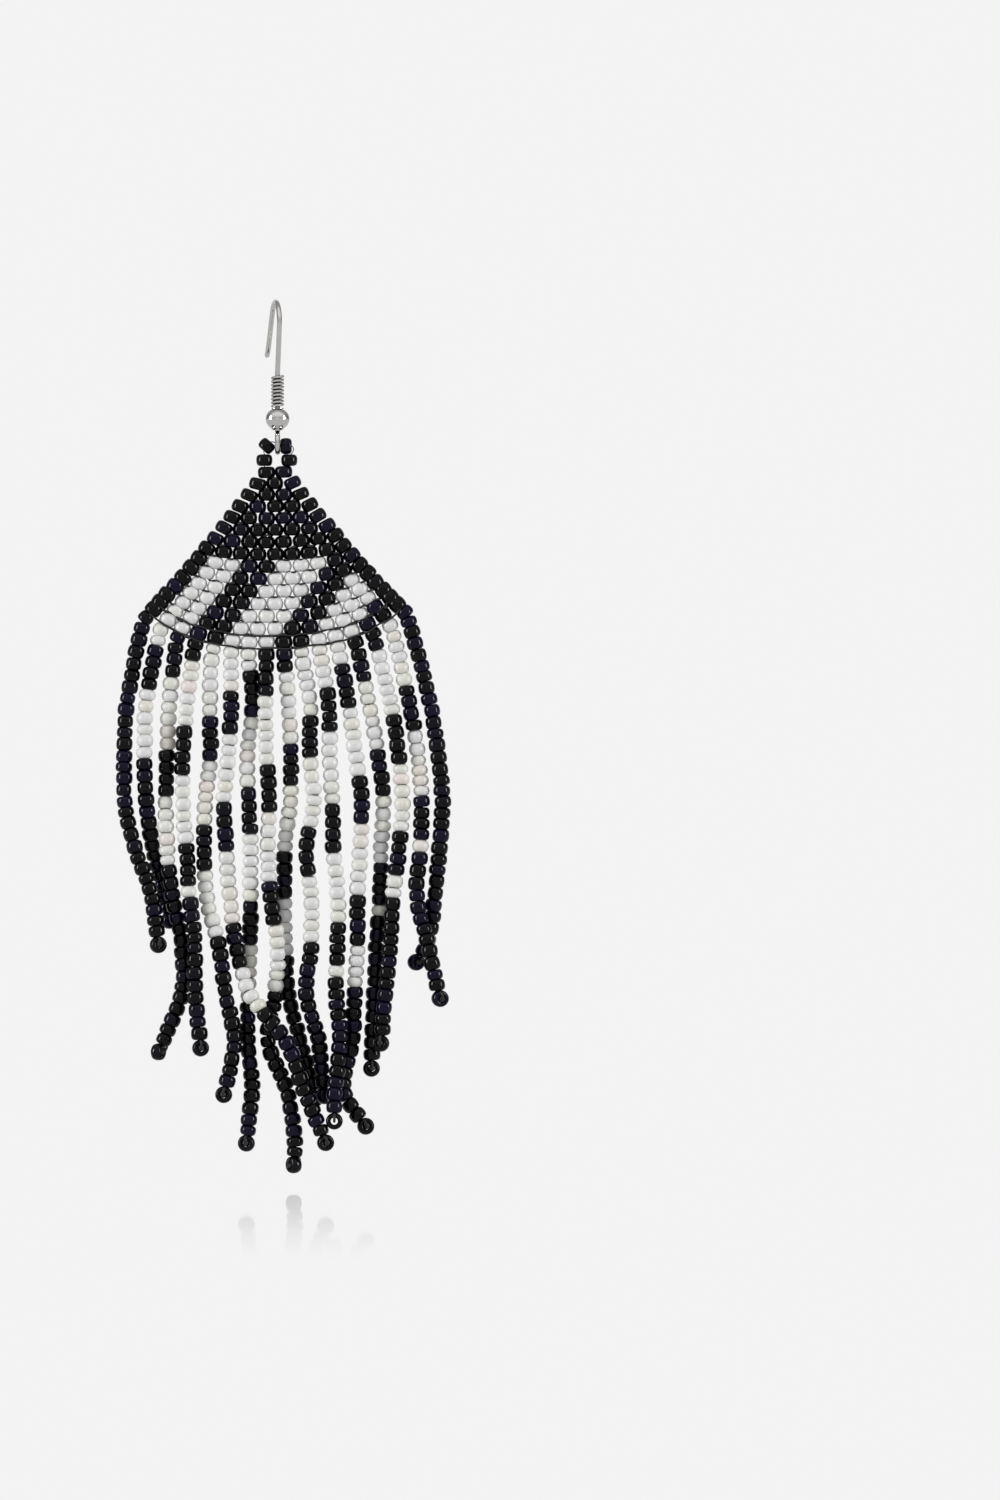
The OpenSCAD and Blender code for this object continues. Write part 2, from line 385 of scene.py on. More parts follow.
@dataclass(frozen=True)
class BeadingThread:
    """Waxed nylon thread with a fine twist."""

    name: str
    slot: Slot
    colour: Colour
    twist: float
    unevenness: float = 1.5
    roughness: float = 0.62
    # How strongly, and how dark, the painted shade of the grooves between plies darkens the colour.
    ply_painted_shade: float = 0.7
    ply_painted_shade_dark: float = 0.4
    ply_depth: float = 0.02
    ply_strength: float = 0.7

    def material(self) -> bpy.types.Material:
        """Makes the thread, with its plies as slanting bands, darkened by painted shade for the grooves
        between them.

        Returns:
            The material.
        """
        material = bpy.data.materials.new(self.name)
        tree = ShaderTree(material)
        place = tree.node("ShaderNodeTexCoord", {}, {}, "Object")
        scale = math.pi / (WAVE_DIAGONAL * self.twist * MM)
        inputs = {"Vector": place, "Scale": scale, "Distortion": self.unevenness}
        ply = tree.node("ShaderNodeTexWave", {"bands_direction": "DIAGONAL"}, inputs, "Fac")
        # Painted shade: slanting dark bands along the twist stand for the shade in the grooves between the
        # plies.
        tree.surface(
            {
                "Base Color": tree.dim(self.colour, ply * self.ply_painted_shade, self.ply_painted_shade_dark),
                "Roughness": self.roughness,
                "Normal": tree.bump(ply, self.ply_depth, self.ply_strength),
            }
        )
        return material


STEEL_COLOUR = (0.76, 0.74, 0.72, 1.0)
DRAWN_STEEL = PolishedSteel("drawn_steel", Slot.STEEL, STEEL_COLOUR, roughness=0.1)
BRIGHT_STEEL = PolishedSteel("bright_steel", Slot.STEEL, STEEL_COLOUR, roughness=0.05)
BLACK_GLASS = BeadGlass(
    "black_bead_glass",
    Slot.BLACK,
    (
        (0.0, (0.001, 0.001, 0.001, 1.0)),
        (0.6, (0.002, 0.002, 0.002, 1.0)),
        (1.0, (0.004, 0.003, 0.016, 1.0)),
    ),
    roughness=0.03,
    bending=1.27,
    inside=0.0,
)
WHITE_GLASS = BeadGlass(
    "white_bead_glass",
    Slot.WHITE,
    (
        (0.0, (0.71, 0.71, 0.72, 1.0)),
        (0.5, (0.73, 0.73, 0.72, 1.0)),
        (0.85, (0.72, 0.72, 0.66, 1.0)),
        (1.0, (0.75, 0.69, 0.67, 1.0)),
    ),
    roughness=0.28,
    bending=1.4,
    inside=0.35,
)
THREAD = BeadingThread("beading_thread", Slot.THREAD, (0.009, 0.009, 0.011, 1.0), twist=0.22)
Finish = Union[BeadGlass, PolishedSteel, BeadingThread]


# Making pieces


class Workshop:
    """Finishes meshes as pieces and keeps one material for each finish."""

    def __init__(self) -> None:
        """Starts with no materials."""
        self._materials: dict[str, bpy.types.Material] = {}

    def piece(
        self, bm: bmesh.types.BMesh, name: str, finish: Finish, body: Body, nodes: Iterable[str]
    ) -> bpy.types.Object:
        """Turns a mesh in millimetres into a piece that rides on a body.

        Args:
            bm: the mesh, which is used up.
            name: the piece's name.
            finish: what it is made of.
            body: the body that carries it.
            nodes: the solids it stands for.

        Returns:
            The piece.
        """
        bmesh.ops.recalc_face_normals(bm, faces=bm.faces)
        bmesh.ops.scale(bm, vec=(MM, MM, MM), verts=bm.verts)
        mesh = bpy.data.meshes.new(name)
        bm.to_mesh(mesh)
        bm.free()
        mesh.polygons.foreach_set("use_smooth", [True] * len(mesh.polygons))
        if finish.name not in self._materials:
            self._materials[finish.name] = finish.material()
        mesh.materials.append(self._materials[finish.name])
        made = bpy.data.objects.new(name, mesh)
        bpy.context.scene.collection.objects.link(made)
        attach(made, body.value)
        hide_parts(*nodes)
        log.info("%s: %d faces on %s", name, len(mesh.polygons), body.value)
        return made


class Path:
    """A smooth line through knots, read by the distance along it."""

    def __init__(self, knots: Sequence[Vector], steps: int = 10) -> None:
        """Draws the line.

        Args:
            knots: the points that it goes through.
            steps: how many short stretches stand for the line between two knots.
        """
        gaps = [(b - a).length for a, b in zip(knots, knots[1:])]
        slopes = [(knots[1] - knots[0]) / gaps[0]]
        for i in range(1, len(knots) - 1):
            slopes.append((knots[i + 1] - knots[i - 1]) / (gaps[i - 1] + gaps[i]))
        slopes.append((knots[-1] - knots[-2]) / gaps[-1])
        self.points = [knots[0].copy()]
        for i, gap in enumerate(gaps):
            for j in range(1, steps + 1):
                t = j / steps
                self.points.append(
                    (2 * t**3 - 3 * t**2 + 1) * knots[i]
                    + (t**3 - 2 * t**2 + t) * gap * slopes[i]
                    + (3 * t**2 - 2 * t**3) * knots[i + 1]
                    + (t**3 - t**2) * gap * slopes[i + 1]
                )
        self.reach = [0.0]
        for a, b in zip(self.points, self.points[1:]):
            self.reach.append(self.reach[-1] + (b - a).length)

    @property
    def length(self) -> float:
        """The line's whole length."""
        return self.reach[-1]

    def at(self, distance: float) -> Vector:
        """Finds a point on the line, which goes on straight past its ends.

        Args:
            distance: how far along the line the point lies.

        Returns:
            The point.
        """
        i = 1
        while i < len(self.points) - 1 and self.reach[i] < distance:
            i += 1
        start, end = self.points[i - 1], self.points[i]
        share = (distance - self.reach[i - 1]) / (self.reach[i] - self.reach[i - 1])
        return start + (end - start) * share

    def heading(self, distance: float, span: float = 0.3) -> Vector:
        """Returns the line's direction at a distance, from the points `span` before and after it."""
        return (self.at(distance + span) - self.at(distance - span)).normalized()


class Wire:
    """A round wire or thread that is drawn out and bent from a circle at its start."""

    def __init__(
        self, bm: bmesh.types.BMesh, start: Vector, heading: Vector, radius: float, sides: int
    ) -> None:
        """Makes the first circle.

        Args:
            bm: the mesh that the wire is added to.
            start: the middle of the first circle.
            heading: the way the wire sets out.
            radius: the wire's radius.
            sides: how many flat sides stand for its roundness.
        """
        self.bm = bm
        self.radius = radius
        self.middle = start.copy()
        self.heading = heading.normalized()
        place = Matrix.Translation(start) @ self.heading.to_track_quat("Z", "Y").to_matrix().to_4x4()
        made = bmesh.ops.create_circle(bm, cap_ends=False, radius=radius, segments=sides, matrix=place)
        self.rim = list({edge for vert in made["verts"] for edge in vert.link_edges})

    def _verts(self) -> list[bmesh.types.BMVert]:
        """Returns the points of the wire's last circle."""
        return list({vert for edge in self.rim for vert in edge.verts})

    def _draw_out(self) -> None:
        """Adds a new last circle on the old one."""
        made = bmesh.ops.extrude_edge_only(self.bm, edges=self.rim)["geom"]
        fresh = {g for g in made if isinstance(g, bmesh.types.BMVert)}
        self.rim = [g for g in made if isinstance(g, bmesh.types.BMEdge) and fresh.issuperset(g.verts)]

    def straight(self, length: float, steps: int = 1) -> "Wire":
        """Runs straight on.

        Args:
            length: how far.
            steps: in how many short stretches.

        Returns:
            The wire.
        """
        for _ in range(steps):
            self._draw_out()
            bmesh.ops.translate(self.bm, vec=self.heading * (length / steps), verts=self._verts())
        self.middle = self.middle + self.heading * length
        return self

    def bend(self, centre: Vector, axis: Vector, degrees: float, steps: int, rise: float = 0.0) -> "Wire":
        """Bends round an axis.

        Args:
            centre: a point on the axis.
            axis: its direction; the wire turns by the right-hand rule.
            degrees: how far it turns.
            steps: in how many short stretches.
            rise: how far it climbs along the axis in all.

        Returns:
            The wire.
        """
        geometry = self.rim + self._verts()
        climb = axis * (rise / steps)
        angle = math.radians(degrees)
        made = bmesh.ops.spin(
            self.bm, geom=geometry, cent=centre, axis=axis, dvec=climb, angle=angle, steps=steps
        )
        self.rim = [g for g in made["geom_last"] if isinstance(g, bmesh.types.BMEdge)]
        turn = Matrix.Rotation(angle, 3, axis)
        self.middle = centre + turn @ (self.middle - centre) + axis * rise
        self.heading = turn @ self.heading
        return self

    def follow(self, points: Sequence[Vector]) -> "Wire":
        """Goes on through points in turn.

        Args:
            points: the points.

        Returns:
            The wire.
        """
        for i, point in enumerate(points):
            ahead = points[i + 1] if i + 1 < len(points) else point + (point - self.middle)
            heading = (ahead - self.middle).normalized()
            self._draw_out()
            verts = self._verts()
            turn = self.heading.rotation_difference(heading).to_matrix()
            bmesh.ops.rotate(self.bm, cent=self.middle, matrix=turn, verts=verts)
            bmesh.ops.translate(self.bm, vec=point - self.middle, verts=verts)
            self.middle, self.heading = point.copy(), heading
        return self

    def round_off(self, taper: Sequence[tuple[float, float]] = DOME) -> "Wire":
        """Closes the wire's end with rings that grow smaller.

        Args:
            taper: how far on each ring lies and how wide it is, for a wire of radius 1.

        Returns:
            The wire.
        """
        for ahead, share in taper:
            self._draw_out()
            verts = self._verts()
            middle = sum((vert.co for vert in verts), Vector()) / len(verts)
            scale = share * self.radius / (verts[0].co - middle).length
            move = self.heading * (ahead * self.radius)
            bmesh.ops.translate(self.bm, vec=move, verts=verts)
            space = Matrix.Translation(-(middle + move))
            bmesh.ops.scale(self.bm, vec=(scale, scale, scale), space=space, verts=verts)
        return self.close()

    def close(self) -> "Wire":
        """Closes the wire's last circle flat, and returns the wire."""
        bmesh.ops.edgeloop_fill(self.bm, edges=self.rim)
        return self


def thread_along(bm: bmesh.types.BMesh, points: Sequence[Vector], radius: float, sides: int) -> None:
    """Lays a round thread through points, closed at both ends."""
    Wire(bm, points[0], points[1] - points[0], radius, sides).close().follow(points[1:]).close()


def turn_outline(bm: bmesh.types.BMesh, outline: Sequence[tuple[float, float]], sides: int) -> None:
    """Turns a closed outline round the Z axis.

    Args:
        bm: the empty mesh that the turned shape is made in.
        outline: how far from the axis and how high each of its points lies.
        sides: how many flat sides stand for the shape's roundness.
    """
    verts = [bm.verts.new((out, 0.0, up)) for out, up in outline]
    edges = [bm.edges.new(pair) for pair in zip(verts, verts[1:] + verts[:1])]
    bmesh.ops.spin(
        bm, geom=verts + edges, cent=(0, 0, 0), axis=(0, 0, 1), angle=math.tau, steps=sides, use_merge=True
    )
    bmesh.ops.remove_doubles(bm, verts=bm.verts, dist=JOIN)


@dataclass(frozen=True)
class Bead:
    """One bead in its place."""

    middle: Vector
    along: Vector
    width: float
    length: float
    tint: float
    roll: float

    def placing(self) -> Matrix:
        """Works out how the pattern becomes this bead.

        Returns:
            The matrix that puts the pattern in this bead's place.
        """
        turn = self.along.to_track_quat("Z", "Y").to_matrix().to_4x4()
        size = Matrix.Diagonal((self.width / 2, self.width / 2, self.length / 2, 1.0))
        return Matrix.Translation(self.middle) @ turn @ Matrix.Rotation(self.roll, 4, "Z") @ size


@dataclass(frozen=True)
class BeadPattern:
    """The turned shape that a bead is a copy of, with a radius and a half length of 1.

    `upper` holds how far out and how high the outline's points lie, from the shoulder up to the
    hole's edge. The lower half mirrors it.
    """

    upper: tuple[tuple[float, float], ...]
    sides: int = 12

    def mesh(self) -> bpy.types.Mesh:
        """Turns the bead, with its hole along Z.

        Returns:
            The bead's mesh.
        """
        bm = bmesh.new()
        bm.verts.layers.float.new(TINT_AND_PAINTED_SHADE)
        lower = [(out, -up) for out, up in reversed(self.upper) if up]
        turn_outline(bm, lower + list(self.upper), self.sides)
        bmesh.ops.recalc_face_normals(bm, faces=bm.faces)
        mesh = bpy.data.meshes.new("bead_pattern")
        bm.to_mesh(mesh)
        bm.free()
        return mesh


SQUARE_BEAD = ((1.0, 0.3), (0.91, 0.76), (0.68, 1.0), (0.42, 0.8))
ROUND_BEAD = ((1.0, 0.0), (0.87, 0.68), (0.6, 1.0), (0.42, 0.86))


class BeadPatterns:
    """The turned beads: black and white ones, and a finer one for the few seen end on."""

    def __init__(self) -> None:
        """Turns the three patterns."""
        black, white = BeadPattern(SQUARE_BEAD), BeadPattern(ROUND_BEAD)
        self.plain = {Tone.BLACK: black.mesh(), Tone.WHITE: white.mesh()}
        self.fine = BeadPattern(SQUARE_BEAD, sides=24).mesh()


class BeadTray:
    """Copies of the bead patterns, sorted by their glass."""

    def __init__(self, patterns: BeadPatterns) -> None:
        """Keeps the patterns and starts with no beads."""
        self.patterns = patterns
        self.heaps: dict[Tone, bmesh.types.BMesh] = {}

    def put(self, bead: Bead, tone: Tone, fine: bool = False) -> None:
        """Adds one bead.

        Args:
            bead: the bead in its place.
            tone: the glass that it is made of.
            fine: whether it needs the finer pattern.
        """
        if tone not in self.heaps:
            self.heaps[tone] = bmesh.new()
        bm = self.heaps[tone]
        known = len(bm.verts)
        bm.from_mesh(self.patterns.fine if fine else self.patterns.plain[tone])
        bm.verts.ensure_lookup_table()
        fresh = bm.verts[known:]
        layer = bm.verts.layers.float[TINT_AND_PAINTED_SHADE]
        for vert in fresh:
            vert[layer] = bead.tint
        bmesh.ops.transform(bm, matrix=bead.placing(), verts=fresh)

    def pieces(self, shop: Workshop, name: str, body: Body, nodes: Iterable[str]) -> None:
        """Makes one piece of each glass.

        Args:
            shop: what finishes the pieces.
            name: the start of their names, which end in the glass.
            body: the body that carries them.
            nodes: the solids that they stand for.
        """
        for tone, bm in self.heaps.items():
            finish = BLACK_GLASS if tone is Tone.BLACK else WHITE_GLASS
            shop.piece(bm, f"{name}_{tone.value}", finish, body, nodes)


def jitter(rng: random.Random, spread: float) -> float:
    """Returns a small chance number, at most `spread` either way."""
    return rng.uniform(-spread, spread)


def lean_a_little(direction: Vector, rng: random.Random, spread: float) -> Vector:
    """Returns a direction tipped by chance, with `spread` as the most for each axis."""
    return (direction + Vector([jitter(rng, spread) for _ in range(3)])).normalized()


# The ear wire


@dataclass
class EarWire:
    """The bent wire with its coil and its hollow ball."""

    shop: Workshop
    wire_d: float = 0.64
    wire_sides: int = 20
    hook_r: float = 2.6
    hook_turn: float = 11.5
    axis_before: float = 1.3
    front_lean: float = 12.3
    bend_r: float = 3.0
    rear_fall: float = 57.0
    rear_leg: float = 5.1
    tip_r: float = 4.0
    tip_flare: float = 20.0
    ring_d: float = 3.0
    ring_z: float = -17.34
    ring_turn: float = 242.0
    neck_r: float = 0.5
    coil_wire_d: float = 0.32
    coil_wire_sides: int = 10
    coil_d: float = 1.68
    coil_turns: float = 8.5
    coil_pitch: float = 0.44
    coil_steps: int = 24
    coil_shade_from: float = 0.3
    # How far in from the coil's outside its painted shade begins, and over how far it deepens.
    coil_bright: float = 0.04
    coil_fade: float = 0.06
    ball_d: float = 3.0
    ball_squash: float = 0.92
    ball_hole_d: float = 1.3
    ball_hole_flare: float = 0.02
    ball_wall: float = 0.22
    ball_sides: int = 40
    # How far in from the ball's outside its painted shade begins, and over how far it deepens.
    ball_bright: float = 0.03
    ball_fade: float = 0.1
    ball_tip: float = 12.0
    ball_z: float = -14.32
    lip_bevel: float = 0.06
    lip_r: float = 0.09
    lip_out: float = 0.05
    lip_z: float = 1.36
    stem_top: float = field(init=False, default=0.0)

    @property
    def axis(self) -> Vector:
        """The vertical axis through stem, coil, ball and ring, at the seat's height."""
        turn = math.radians(self.hook_turn)
        return Vector((self.axis_before * math.sin(turn), -self.axis_before * math.cos(turn), 0.0))

    def _in_hook_plane(self, back: float, up: float) -> Vector:
        """Returns the point that lies `back` and `up` in the hook's own plane."""
        turn = math.radians(self.hook_turn)
        return Vector((-back * math.sin(turn), back * math.cos(turn), up))

    def build(self) -> None:
        """Makes the hook, the coil and the ball."""
        self.shop.piece(self.hook(), "ear_wire_hook", DRAWN_STEEL, Body.EAR_WIRE, ["ear_hook"])
        self.shop.piece(self.coil(), "ear_wire_coil", DRAWN_STEEL, Body.EAR_WIRE, ["hook_coil"])
        self.shop.piece(self.ball(), "ear_wire_ball", BRIGHT_STEEL, Body.EAR_WIRE, ["hook_ball"])

    def hook(self) -> bmesh.types.BMesh:
        """Bends the wire from its tip over the hook and down the stem to its ring.

        The points are worked out in the hook's own plane first, with x to the back and y up.

        Returns:
            The wire's mesh.
        """
        wire_r, turn = self.wire_d / 2, math.radians(self.hook_turn)
        fall, lean = math.radians(self.rear_fall), math.radians(self.front_lean)
        across = Vector((math.cos(turn), math.sin(turn), 0.0))
        top = Vector((0.0, wire_r - self.hook_r))
        rear_from = top + self.hook_r * Vector((math.sin(fall), math.cos(fall)))
        rear_to = rear_from + self.rear_leg * Vector((math.cos(fall), -math.sin(fall)))
        tip_c = rear_to + self.tip_r * Vector((math.sin(fall), math.cos(fall)))
        front_from = top - self.hook_r * Vector((math.cos(lean), math.sin(lean)))
        run = -self.axis_before - front_from.x - self.bend_r * (1 - math.cos(lean))
        front_leg = run / math.sin(lean)
        front_to = front_from + front_leg * Vector((math.sin(lean), -math.cos(lean)))
        bend_c = Vector((-self.axis_before - self.bend_r, front_to.y - self.bend_r * math.sin(lean)))
        self.stem_top = bend_c.y

        flare = fall - math.radians(self.tip_flare)
        tip = tip_c - self.tip_r * Vector((math.sin(flare), math.cos(flare)))
        out = Vector((math.cos(flare), -math.sin(flare)))
        bm = bmesh.new()
        start, away = self._in_hook_plane(*tip), self._in_hook_plane(*out)
        Wire(bm, start, away, wire_r, self.wire_sides).round_off(POINT)
        wire = Wire(bm, start, -away, wire_r, self.wire_sides)
        wire.bend(self._in_hook_plane(*tip_c), across, -self.tip_flare, steps=5)
        wire.straight(self.rear_leg, steps=4)
        wire.bend(self._in_hook_plane(*top), across, 90 + self.rear_fall + self.front_lean, steps=36)
        wire.straight(front_leg, steps=3)
        wire.bend(self._in_hook_plane(*bend_c), across, -self.front_lean, steps=6)
        self._ring(wire)
        bmesh.ops.remove_doubles(bm, verts=bm.verts, dist=JOIN)
        # Painted shade on the stem where the coil wraps round it.
        self._paint_shade(bm, self._in_coil)
        return bm

    def _in_coil(self, point: Vector) -> float:
        """Tells the stem inside the coil, which gets painted shade there, from the rest of the wire.

        Args:
            point: a point of the wire's surface.

        Returns:
            1 on that stretch of the stem and 0 elsewhere.
        """
        near = 0.01
        low = self.stem_top - self.coil_turns * self.coil_pitch - near
        high = self.stem_top - self.coil_shade_from + near
        return float(low < point.z < high and (point - self.axis).xy.length < self.wire_d)

    @staticmethod
    def _paint_shade(bm: bmesh.types.BMesh, share: Callable[[Vector], float]) -> None:
        """Marks how much painted shade the steel gets, up to 1 in the gaps and hollows where shade falls.

        Args:
            bm: the mesh.
            share: how much painted shade a point gets; less than 0 counts as 0, and more than 1 as 1.
        """
        layer = bm.verts.layers.float.new(TINT_AND_PAINTED_SHADE)
        for vert in bm.verts:
            vert[layer] = min(1.0, max(0.0, share(vert.co)))

    def _ring(self, wire: Wire) -> None:
        """Runs the wire down its stem and round its ring, and ends it against its neck.

        Args:
            wire: the wire, which has come to the top of its stem.
        """
        ring_r = (self.ring_d - self.wire_d) / 2
        centre = self.axis + Vector((0, 0, self.ring_z))
        neck_rise = math.sqrt(ring_r**2 + 2 * self.neck_r * ring_r)
        neck_turn = math.degrees(math.asin(neck_rise / (ring_r + self.neck_r)))
        neck_c = centre + Vector((0, -self.neck_r, neck_rise))
        across = Vector((1, 0, 0))
        wire.straight(self.coil_shade_from)
        wire.straight(self.coil_turns * self.coil_pitch - self.coil_shade_from)
        wire.straight(wire.middle.z - neck_c.z, steps=2)
        wire.bend(neck_c, across, -neck_turn, steps=8)
        wire.bend(centre, across, neck_turn + self.ring_turn, steps=40)
        wire.round_off()

    def coil(self) -> bmesh.types.BMesh:
        """Winds the thinner wire round the stem.

        Returns:
            The coil's mesh.
        """
        bm = bmesh.new()
        wire_r, rise = self.coil_wire_d / 2, self.coil_turns * self.coil_pitch
        foot = self.axis + Vector((0, 0, self.stem_top - rise - wire_r))
        start, ahead = foot - Vector((self.coil_d / 2 - wire_r, 0, 0)), Vector((0, -1, 0))
        Wire(bm, start, -ahead, wire_r, self.coil_wire_sides).round_off()
        wire = Wire(bm, start, ahead, wire_r, self.coil_wire_sides)
        steps = round(self.coil_steps * self.coil_turns)
        wire.bend(foot, Vector((0, 0, 1)), 360 * self.coil_turns, steps, rise)
        wire.round_off()
        bmesh.ops.remove_doubles(bm, verts=bm.verts, dist=JOIN)
        # Painted shade on the inner side of the coil's wire, which faces the stem and the gaps between
        # turns.
        bright = self.coil_d / 2 - self.coil_bright
        self._paint_shade(bm, lambda point: (bright - (point - self.axis).xy.length) / self.coil_fade)
        return bm

    def ball(self) -> bmesh.types.BMesh:
        """Turns the hollow ball from a thin curved outline, and rolls its lips.

        Returns:
            The ball's mesh.
        """
        bm = bmesh.new()
        outer, inner = self.ball_d / 2, self.ball_d / 2 - self.ball_wall
        hole = self.ball_hole_d / 2
        rim, inside = math.asin(hole / outer), math.asin((hole + self.ball_hole_flare) / inner)
        outline = self._arc(outer, rim, math.pi - rim, 16) + self._arc(inner, math.pi - inside, inside, 8)
        turn_outline(bm, outline, self.ball_sides)
        sharp = math.radians(50)
        lips = [edge for edge in bm.edges if edge.is_manifold and edge.calc_face_angle(0.0) > sharp]
        bmesh.ops.bevel(
            bm,
            geom=lips,
            offset=self.lip_bevel,
            segments=2,
            profile=0.5,
            affect="EDGES",
            material=-1,
            clamp_overlap=True,
        )
        for side in (-1, 1):
            centre = Vector((0, 0, side * self.lip_z))
            start = centre + Vector((hole + self.lip_out, 0, 0))
            rolled = Wire(bm, start, Vector((0, 1, 0)), self.lip_r, sides=10)
            rolled.bend(centre, Vector((0, 0, 1)), 360, steps=36)
        bmesh.ops.remove_doubles(bm, verts=bm.verts, dist=JOIN)
        # Painted shade inside the hollow ball and on the inner side of its rolled lips.
        self._paint_shade(bm, lambda point: (outer - self.ball_bright - point.length) / self.ball_fade)
        tip = Matrix.Rotation(math.radians(-self.ball_tip), 4, "X")
        squash = Matrix.Diagonal((1, 1, self.ball_squash, 1))
        place = Matrix.Translation(self.axis + Vector((0, 0, self.ball_z))) @ tip @ squash
        bmesh.ops.transform(bm, matrix=place, verts=bm.verts)
        return bm

    @staticmethod
    def _arc(radius: float, start: float, end: float, steps: int) -> list[tuple[float, float]]:
        """Works out an arc round the ball's middle.

        Args:
            radius: the arc's radius.
            start: its first point's angle from straight up.
            end: its last point's angle.
            steps: how many short stretches stand for it.

        Returns:
            How far out and how high each of its points lies.
        """
        angles = [start + (end - start) * i / steps for i in range(steps + 1)]
        return [(radius * math.sin(angle), radius * math.cos(angle)) for angle in angles]


# The drop


@dataclass
class TopLoop:
    """The four beads under the ring and the doubled thread that they hang on.

    `beads` holds the x, the z and the lean in degrees of each bead, and `route` the x and the z of
    the thread's points, all of them counted from the axis at the seat's height.
    """

    shop: Workshop
    patterns: BeadPatterns
    axis: Vector
    seed: int = 71
    bead_width: float = 2.04
    bead_length: float = 1.44
    thread_r: float = 0.055
    beads: tuple[tuple[float, float, float], ...] = (
        (-1.65, -19.48, 0.0), (-1.35, -17.7, 42.0), (1.05, -17.72, 90.0), (1.45, -19.48, 0.0),
    )
    route: tuple[tuple[float, float], ...] = (
        (-1.4, -21.3), (-1.65, -20.1), (-1.65, -18.8), (-1.7, -18.3), (-0.8, -17.2), (-0.15, -17.45),
        (0.05, -18.06), (0.35, -17.72), (1.75, -17.72), (2.0, -18.1), (1.82, -18.57), (1.68, -18.74),
        (1.5, -20.1), (0.9, -21.3),
    )

    def build(self) -> None:
        """Makes the beads and their thread."""
        rng = random.Random(self.seed)
        for number, (x, z, lean) in enumerate(self.beads, 1):
            tray = BeadTray(self.patterns)
            angle = math.radians(lean)
            along = Vector((math.sin(angle), 0.0, math.cos(angle)))
            middle = self.axis + Vector((x, 0.0, z))
            tint = rng.random()
            bead = Bead(middle, along, self.bead_width, self.bead_length, tint, rng.random())
            tray.put(bead, Tone.BLACK, fine=True)
            tray.pieces(self.shop, f"loop_bead_{number}", Body.DROP, [f"loop_bead_{number}"])
        bm = bmesh.new()
        for side in (-1, 1):
            offset = self.axis + Vector((0.0, side * self.thread_r, 0.0))
            path = Path([offset + Vector((x, 0.0, z)) for x, z in self.route], steps=6)
            thread_along(bm, path.points, self.thread_r, sides=8)
        self.shop.piece(bm, "hanging_thread", THREAD, Body.DROP, ["hang_thread"])


@dataclass(frozen=True)
class Beadwork:
    """A plain pattern of slanting black and white stripes, black at the top, edges and ends."""

    stripe_beads: int = 10
    black_beads: int = 4
    steepness: float = 2.0
    black_top: int = 7
    black_end: int = 12

    def tone(self, down: float, across: float, edge: float, left: float = math.inf) -> Tone:
        """Returns the glass of a bead.

        Args:
            down: how many beads it lies below the panel's lowest row.
            across: how many beads it lies to the right of the middle.
            edge: how many beads lie between it and the nearer edge.
            left: how many beads follow it on its strand.

        Returns:
            The glass.
        """
        if down <= -self.black_top or edge < 1 or left < self.black_end:
            return Tone.BLACK
        place = (down + self.steepness * across) % self.stripe_beads
        return Tone.BLACK if place < self.black_beads else Tone.WHITE


